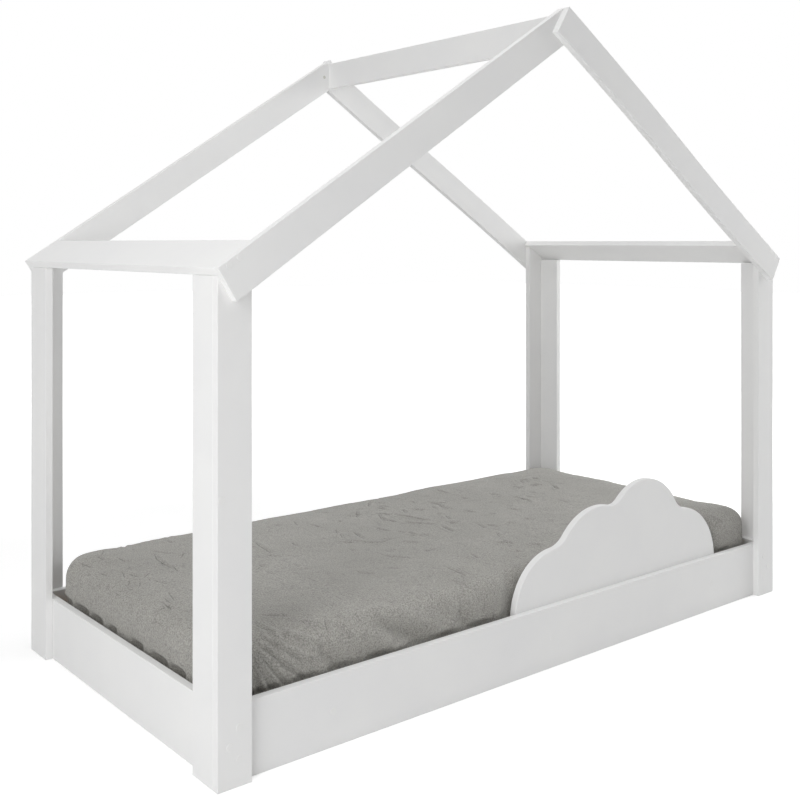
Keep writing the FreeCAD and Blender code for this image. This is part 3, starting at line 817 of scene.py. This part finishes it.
# %% The cover in its place
OVER_SIDE, OFF_GUARD, GUARD_END = 0.0006, 0.0004, 0.001
beside_guard = shaped[:, 0] > guard_low.x - GUARD_END
beside_guard &= shaped[:, 0] < guard_high.x + GUARD_END
shaped[:, 0] = np.clip(shaped[:, 0], foot.x - OVER_SIDE, crest.x + OVER_SIDE)
shaped[:, 1] = np.clip(shaped[:, 1], foot.y - OVER_SIDE, crest.y + OVER_SIDE)
behind_guard = np.maximum(shaped[:, 1], guard_high.y + OFF_GUARD)
shaped[:, 1] = np.where(beside_guard, behind_guard, shaped[:, 1])
shaped[:, 2] = np.maximum(shaped[:, 2], foot.z)
cover.data.vertices.foreach_set("co", shaped.ravel().astype(np.float32))
for name, values in (("crease_near", nearness), ("crease_side", side_of_line)):
    attribute = cover.data.attributes.new(name, "FLOAT", "POINT")
    attribute.data.foreach_set("value", values.astype(np.float32))
cover.data.update()
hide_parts("mattress_cover")
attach(cover, "mattress")
print("the cover's height in mm:", round(1000 * np.ptp(shaped[:, 2]), 1))

# %% [markdown]
# ## The foam
#
# The core is one block of cut foam. It shows only from below, through the mouth of the cover, where it
# bulges down on to the slats. It is the same slab again, closed by a grid below, and set in from
# the cover by the depth of its pockets.

# %% The foam core
core_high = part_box("mattress_core")[1]
INSET, ROUNDING, LOWER_ROUNDING, FOAM_CORNER = 0.027, 0.020, 0.010, 0.045
BULGE, BULGE_FULL, BULGE_GONE = 0.004, 0.12, 0.08  # the last two are distances in from the sides
OFF_SLATS, UNDER_COVER = 0.0007, 0.006
peak = core_high.z - UNDER_COVER
rest_height = foot.z + OFF_SLATS + BULGE  # of the flat underside, before it bulges down
lower = rest_height + LOWER_ROUNDING * (1 - np.sin(arc))
foam_profile = np.concatenate([
    np.stack([ROUNDING * np.sin(arc), peak - ROUNDING * (1 - np.cos(arc))], axis=1),
    np.stack([ROUNDING * np.cos(arc), lower], axis=1)[:-1],
])
foam_points, foam_faces = slab(
    core_high.x - INSET - ROUNDING, core_high.y - INSET - ROUNDING, np.full((2, 2), FOAM_CORNER),
    np.vstack([foam_profile, [0.0, rest_height]]), STEP,
)
middle = (foam_points[:, 2] < rest_height + 0.0005) * 1.0
for along, side in ((foam_points[:, 0], core_high.x), (foam_points[:, 1], core_high.y)):
    middle *= 1 - smooth_step(side - BULGE_FULL, side - BULGE_GONE, np.abs(along))
foam_points[:, 2] -= BULGE * middle
foam = mesh_of("mattress_core_foam", foam_points, foam_faces)
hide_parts("mattress_core")
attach(foam, "mattress")
print("faces of foam:", len(foam.data.polygons))

# %% [markdown]
# ## Suede-like cloth: its patches and its nap
#
# The cover is a brushed microfibre, warm grey. Handling leaves patches a hand wide that are lighter or
# darker. The real nap is finer than the picture can show, so it is drawn as specks of 2 to 3 mm.

# %% The patches and the nap of brushed microfibre
PATCHES, NAP = 9.0, 380.0
suede, suede_shader, place = start_finish("brushed_grey_microfibre")
patches = add(suede, "ShaderNodeTexNoise", Vector=place, Scale=PATCHES, Detail=5.0, Roughness=0.62)
tone = add(suede, "ShaderNodeValToRGB", Fac=patches.outputs["Fac"])
tone.color_ramp.elements[0].position = 0.32
tone.color_ramp.elements[0].color = linear("#AAA8A2")
tone.color_ramp.elements[1].position = 0.68
tone.color_ramp.elements[1].color = linear("#B3B1AB")
nap = add(suede, "ShaderNodeTexNoise", Vector=place, Scale=NAP, Detail=1.0, Roughness=0.7)
napped = add(
    suede, "ShaderNodeMapRange", Value=nap.outputs["Fac"],
    From_Min=0.3, From_Max=0.7, To_Min=0.0, To_Max=1.0,
)
print("patches and specks in mm:", round(1000 / PATCHES), round(1000 / NAP, 1))

# %% [markdown]
# ## Suede-like cloth: its marks
#
# Fine marks run through the cloth in two layers, here and there, long in one direction and short in
# the other. They are the edges of stretched Voronoi cells, kept only where a noise is high. The lines
# of the creases are added from the two values in the mesh, and are darker. All of them go into one
# value, which darkens the colour here as painted shade along the marks and creases, and cuts the
# surface in the next step.

# %% The marks of brushed microfibre
MARK_LAYERS = [  # turn, stretch along the bed's width, cells to the metre, width as a share of a cell
    (0.22, 0.10, 24.0, 0.026),
    (-0.15, 0.14, 42.0, 0.040),
]
HALF_LINE = 0.0014
MIXED_COLOUR = 2  # a mix node's output for a number is 0, for a vector 1 and for a colour 2
marks = []
for turn, stretch, scale, width in MARK_LAYERS:
    laid = add(
        suede, "ShaderNodeMapping", Vector=place, Rotation=(0.0, 0.0, turn), Scale=(1.0, stretch, 0.8),
    )
    cracks = add(
        suede, "ShaderNodeTexVoronoi", {"feature": "DISTANCE_TO_EDGE"}, Vector=laid.outputs["Vector"],
        Scale=scale,
    )
    thin = add(
        suede, "ShaderNodeMapRange", Value=cracks.outputs["Distance"],
        From_Min=0.0, From_Max=width, To_Min=1.0, To_Max=0.0,
    )
    spread = add(suede, "ShaderNodeTexNoise", Vector=place, Scale=scale * 0.9, Detail=2.0)
    some = add(
        suede, "ShaderNodeMapRange", Value=spread.outputs["Fac"],
        From_Min=0.54, From_Max=0.64, To_Min=0.0, To_Max=0.4,
    )
    marks.append(add(
        suede, "ShaderNodeMath", {"operation": "MULTIPLY"},
        [thin.outputs["Result"], some.outputs["Result"]],
    ).outputs["Value"])
crease_near = add(suede, "ShaderNodeAttribute", {"attribute_name": "crease_near"})
crease_side = add(suede, "ShaderNodeAttribute", {"attribute_name": "crease_side"})
aside = add(suede, "ShaderNodeMath", {"operation": "ABSOLUTE"}, [crease_side.outputs["Fac"]])
sharp = add(
    suede, "ShaderNodeMapRange", Value=aside.outputs["Value"],
    From_Min=0.0, From_Max=HALF_LINE, To_Min=1.0, To_Max=0.0,
)
folds = add(
    suede, "ShaderNodeMath", {"operation": "MULTIPLY"},
    [sharp.outputs["Result"], crease_near.outputs["Fac"]],
)
fine = add(suede, "ShaderNodeMath", {"operation": "MAXIMUM"}, marks)
lines = add(
    suede, "ShaderNodeMath", {"operation": "MAXIMUM"},
    [fine.outputs["Value"], folds.outputs["Value"]],
)
share = add(suede, "ShaderNodeMath", {"operation": "MULTIPLY"}, [lines.outputs["Value"], 0.75])
# The marks and crease lines are mixed towards dark grey: painted shade, standing in for the shadow in each
# small groove.
painted_shade_in_lines = add(
    suede, "ShaderNodeMix", {"data_type": "RGBA"}, Factor=share.outputs["Value"],
    A=tone.outputs["Color"], B=linear("#5C5B58"),
)
speckled = add(
    suede, "ShaderNodeMix", {"data_type": "RGBA", "blend_type": "MULTIPLY"},
    Factor=napped.outputs["Result"], A=painted_shade_in_lines.outputs[MIXED_COLOUR], B=linear("#BEBEBE"),
)
suede.node_tree.links.new(speckled.outputs[MIXED_COLOUR], suede_shader.inputs["Base Color"])
print("layers of fine marks:", len(marks), "and width of a crease's line in mm:", 2000 * HALF_LINE)

# %% [markdown]
# ## Suede-like cloth: its surface
#
# The cloth has a fine crinkle like leather's: cells of about 4 mm with soft valleys between them, over
# a softer rumple, and the marks are cut in last. Its short nap scatters light at grazing angles, which
# a little sheen gives.

# %% The surface of brushed microfibre
GRAIN, RUMPLE = 240.0, 190.0
grain = add(suede, "ShaderNodeTexVoronoi", {"feature": "DISTANCE_TO_EDGE"}, Vector=place, Scale=GRAIN)
valley = add(
    suede, "ShaderNodeMapRange", Value=grain.outputs["Distance"],
    From_Min=0.0, From_Max=0.30, To_Min=0.0, To_Max=1.0,
)
rumple = add(suede, "ShaderNodeTexNoise", Vector=place, Scale=RUMPLE, Detail=3.0, Roughness=0.6)
skin = add(suede, "ShaderNodeBump", Height=valley.outputs["Result"], Strength=0.7, Distance=0.0008)
rumpled = add(
    suede, "ShaderNodeBump", Height=rumple.outputs["Fac"], Strength=0.6, Distance=0.0020,
    Normal=skin.outputs["Normal"],
)
grooved = add(
    suede, "ShaderNodeBump", {"invert": True}, Height=lines.outputs["Value"], Strength=0.8,
    Distance=0.0008, Normal=rumpled.outputs["Normal"],
)
suede.node_tree.links.new(grooved.outputs["Normal"], suede_shader.inputs["Normal"])
suede_shader.inputs["Roughness"].default_value = 0.78
suede_shader.inputs["Sheen Weight"].default_value = 0.20
suede_shader.inputs["Sheen Roughness"].default_value = 0.45
cover.data.materials.append(suede)
print("leather-like cells and rumple in mm:", round(1000 / GRAIN, 1), round(1000 / RUMPLE, 1))

# %% [markdown]
# ## Foam
#
# The foam is cream polyether, cut with a wire, and shows its open cells. They are drawn at about
# 2 mm, coarser than real ones, because those would be too fine to show. The colour is darker in each
# cell's hollow, which is painted shade of the open pores.

# %% Polyether foam
CELLS = 480.0
sponge, shader, place = start_finish("cream_polyether_foam")
cells = add(sponge, "ShaderNodeTexVoronoi", Vector=place, Scale=CELLS)
# Painted shade: the colour darkens towards each cell's middle, where the bump makes a hollow.
tone = add(sponge, "ShaderNodeValToRGB", Fac=cells.outputs["Distance"])
tone.color_ramp.elements[0].color = linear("#C9BC93")
tone.color_ramp.elements[1].position = 0.5
tone.color_ramp.elements[1].color = linear("#EADFBC")
skin = add(sponge, "ShaderNodeBump", Height=cells.outputs["Distance"], Strength=0.6, Distance=0.001)
sponge.node_tree.links.new(tone.outputs["Color"], shader.inputs["Base Color"])
sponge.node_tree.links.new(skin.outputs["Normal"], shader.inputs["Normal"])
shader.inputs["Roughness"].default_value = 0.95
foam.data.materials.append(sponge)
print("foam cells in mm:", round(1000 / CELLS, 1))

# %% [markdown]
# ## The floor and the world
#
# The floor is white paper, and the world is pale. Both look pure white to the camera and in
# reflections, but light the bed only weakly, because a strong white world would wash out the
# difference between its faces. The floor glows less near the bed than far from it, so it keeps the
# bed's shadow and its edge melts into the world.

# %% The floor and the world
FAR = 15
floor_mesh = bpy.data.meshes.new("white_paper_floor")
floor_mesh.from_pydata([(-FAR, -FAR, 0), (FAR, -FAR, 0), (FAR, FAR, 0), (-FAR, FAR, 0)], [], [(0, 1, 2, 3)])
floor = bpy.data.objects.new("white_paper_floor", floor_mesh)
scene.collection.objects.link(floor)
paper, shader, place = start_finish("white_paper")
world = bpy.data.worlds.new("pale_studio")
world.use_nodes = True
scene.world = world
seen = {}
for owner in (paper, world):
    rays = add(owner, "ShaderNodeLightPath").outputs
    direct = add(
        owner, "ShaderNodeMath", {"operation": "MAXIMUM"},
        [rays["Is Camera Ray"], rays["Is Glossy Ray"]],
    )
    seen[owner.name] = add(
        owner, "ShaderNodeMath", {"operation": "MAXIMUM"},
        [direct.outputs["Value"], rays["Is Transmission Ray"]],
    ).outputs["Value"]

from_middle = add(paper, "ShaderNodeVectorMath", {"operation": "LENGTH"}, [place])
lift = add(
    paper, "ShaderNodeMapRange", Value=from_middle.outputs["Value"],
    From_Min=1.3, From_Max=3.5, To_Min=0.32, To_Max=0.92,
)
lifted = add(
    paper, "ShaderNodeMath", {"operation": "MULTIPLY"}, [seen[paper.name], lift.outputs["Result"]],
)
paper.node_tree.links.new(lifted.outputs["Value"], shader.inputs["Emission Strength"])
shader.inputs["Emission Color"].default_value = (1, 1, 1, 1)
shader.inputs["Base Color"].default_value = linear("#F2F2F2")
shader.inputs["Roughness"].default_value = 0.9
floor_mesh.materials.append(paper)

sky = world.node_tree.nodes["Background"]
strength = add(world, "ShaderNodeMapRange", Value=seen[world.name], To_Min=0.20, To_Max=1.0)
world.node_tree.links.new(strength.outputs["Result"], sky.inputs["Strength"])
sky.inputs["Color"].default_value = (1, 1, 1, 1)
print("floor and world:", floor.name, world.name)

# %% [markdown]
# ## The lamps
#
# White on white needs light that differs from side to side. Two soft boxes stand at the left, a low
# one and a high one, and a larger one stands further off at the right. A very large one hangs high
# overhead, so its light falls evenly from above, and a small lamp at the right draws crisp thin
# shadows.


# %% Lamps
def lamp(name, place, aim, size, power):
    """A square soft box at a place, facing the aim: its -Z axis lies along aim - place."""
    data = bpy.data.lights.new(name, "AREA")
    data.size = size
    data.energy = power
    box = bpy.data.objects.new(name, data)
    away = np.array(aim) - np.array(place)
    flat = math.hypot(away[0], away[1])
    box.location = place
    box.rotation_euler = (math.atan2(flat, -away[2]), 0, math.atan2(away[1], away[0]) - math.pi / 2)
    scene.collection.objects.link(box)


lamp("low_left_soft_box", (-2.9, -1.7, 0.85), (-0.6, -0.3, 0.45), 1.5, 28.5)
lamp("high_left_soft_box", (-3.0, -1.2, 2.3), (-0.5, -0.2, 0.4), 1.2, 21.0)
lamp("right_soft_box", (3.6, -0.6, 1.2), (0.4, 0.0, 0.5), 2.0, 68.0)
lamp("overhead_soft_box", (0.0, 0.0, 5.5), (0.0, 0.01, 0.5), 5.0, 142.0)
lamp("small_right_lamp", (3.1, -2.6, 2.2), (0.4, -0.1, 0.5), 0.25, 9.0)
scene.view_settings.view_transform = "Standard"
